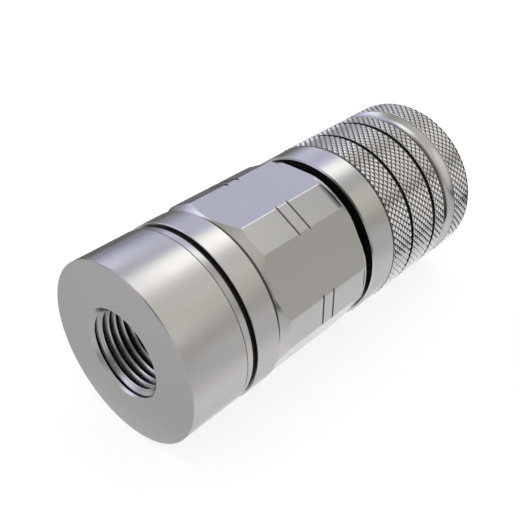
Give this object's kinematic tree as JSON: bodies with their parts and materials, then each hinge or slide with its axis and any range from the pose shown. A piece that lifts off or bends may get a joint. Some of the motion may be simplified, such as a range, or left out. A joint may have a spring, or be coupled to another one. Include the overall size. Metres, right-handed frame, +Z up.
{
  "type": "hydraulic quick coupler",
  "caption": "Hydraulic quick coupler socket with a threaded port, a hexagon body, a knurled pull-back locking sleeve, locking balls and a sprung flat-face valve.",
  "frame": {"origin": "centre of the port face, where the port thread's axis meets it", "axes": "+X along the axis from the port face to the mouth, +Z up with a wide wrench flat on top, so the part lies on its side"},
  "size_m": [0.0998, 0.043, 0.0428],
  "materials": {
    "plated_steel": "satin zinc-nickel plating",
    "inner_steel": "fine turned",
    "ball_steel": "polished",
    "spring_steel": "drawn wire",
    "seal_rubber": "matte",
    "ring_polymer": "matte"
  },
  "bodies": {
    "coupler": {"port_adapter": "plated_steel", "body": "plated_steel", "stem_carrier": "inner_steel", "valve_stem": "inner_steel", "stem_nut": "inner_steel", "stem_washer": "spring_steel", "valve_spring": "spring_steel", "sleeve_spring": "spring_steel", "stop_ring": "spring_steel", "adapter_o_ring": "seal_rubber", "main_seal": "seal_rubber", "stem_seal": "seal_rubber", "joint_ring": "seal_rubber", "adapter_backup_ring": "ring_polymer", "main_seal_backup": "ring_polymer", "guide_ring": "ring_polymer"},
    "sleeve_seat": {"thrust_washer": "inner_steel"},
    "sleeve": {"lock_sleeve": "plated_steel"},
    "valve": {"valve_sleeve": "inner_steel"},
    "ball_1": {"lock_ball_1": "ball_steel"},
    "ball_2": {"lock_ball_2": "ball_steel"},
    "ball_3": {"lock_ball_3": "ball_steel"},
    "ball_4": {"lock_ball_4": "ball_steel"},
    "ball_5": {"lock_ball_5": "ball_steel"},
    "ball_6": {"lock_ball_6": "ball_steel"},
    "ball_7": {"lock_ball_7": "ball_steel"},
    "ball_8": {"lock_ball_8": "ball_steel"}
  },
  "joints": [
    {"name": "sleeve_slide", "type": "slide", "parent": "coupler", "child": "sleeve_seat", "axis": [1, 0, 0], "range_m": [-0.0026, 0], "stiffness_N_per_m": 4000, "springref_m": 0.006, "deforming": ["sleeve_spring"]},
    {"name": "sleeve_spin", "type": "hinge", "parent": "sleeve_seat", "child": "sleeve", "pos_m": [0.08375, 0, 0], "axis": [1, 0, 0], "continuous": true},
    {"name": "valve_slide", "type": "slide", "parent": "coupler", "child": "valve", "axis": [1, 0, 0], "range_m": [-0.009, 0], "stiffness_N_per_m": 3000, "springref_m": 0.008, "deforming": ["valve_spring"]},
    {"name": "ball_1_slide", "type": "slide", "parent": "coupler", "child": "ball_1", "axis": [0, -0.3827, 0.9239], "range_m": [0, 0.001]},
    {"name": "ball_2_slide", "type": "slide", "parent": "coupler", "child": "ball_2", "axis": [0, -0.9239, 0.3827], "range_m": [0, 0.001]},
    {"name": "ball_3_slide", "type": "slide", "parent": "coupler", "child": "ball_3", "axis": [0, -0.9239, -0.3827], "range_m": [0, 0.001]},
    {"name": "ball_4_slide", "type": "slide", "parent": "coupler", "child": "ball_4", "axis": [0, -0.3827, -0.9239], "range_m": [0, 0.001]},
    {"name": "ball_5_slide", "type": "slide", "parent": "coupler", "child": "ball_5", "axis": [0, 0.3827, -0.9239], "range_m": [0, 0.001]},
    {"name": "ball_6_slide", "type": "slide", "parent": "coupler", "child": "ball_6", "axis": [0, 0.9239, -0.3827], "range_m": [0, 0.001]},
    {"name": "ball_7_slide", "type": "slide", "parent": "coupler", "child": "ball_7", "axis": [0, 0.9239, 0.3827], "range_m": [0, 0.001]},
    {"name": "ball_8_slide", "type": "slide", "parent": "coupler", "child": "ball_8", "axis": [0, 0.3827, 0.9239], "range_m": [0, 0.001]}
  ],
  "couplings": [
    {"joint": "ball_1_slide", "follows": "sleeve_slide", "ratio": -0.3846},
    {"joint": "ball_2_slide", "follows": "sleeve_slide", "ratio": -0.3846},
    {"joint": "ball_3_slide", "follows": "sleeve_slide", "ratio": -0.3846},
    {"joint": "ball_4_slide", "follows": "sleeve_slide", "ratio": -0.3846},
    {"joint": "ball_5_slide", "follows": "sleeve_slide", "ratio": -0.3846},
    {"joint": "ball_6_slide", "follows": "sleeve_slide", "ratio": -0.3846},
    {"joint": "ball_7_slide", "follows": "sleeve_slide", "ratio": -0.3846},
    {"joint": "ball_8_slide", "follows": "sleeve_slide", "ratio": -0.3846}
  ]
}
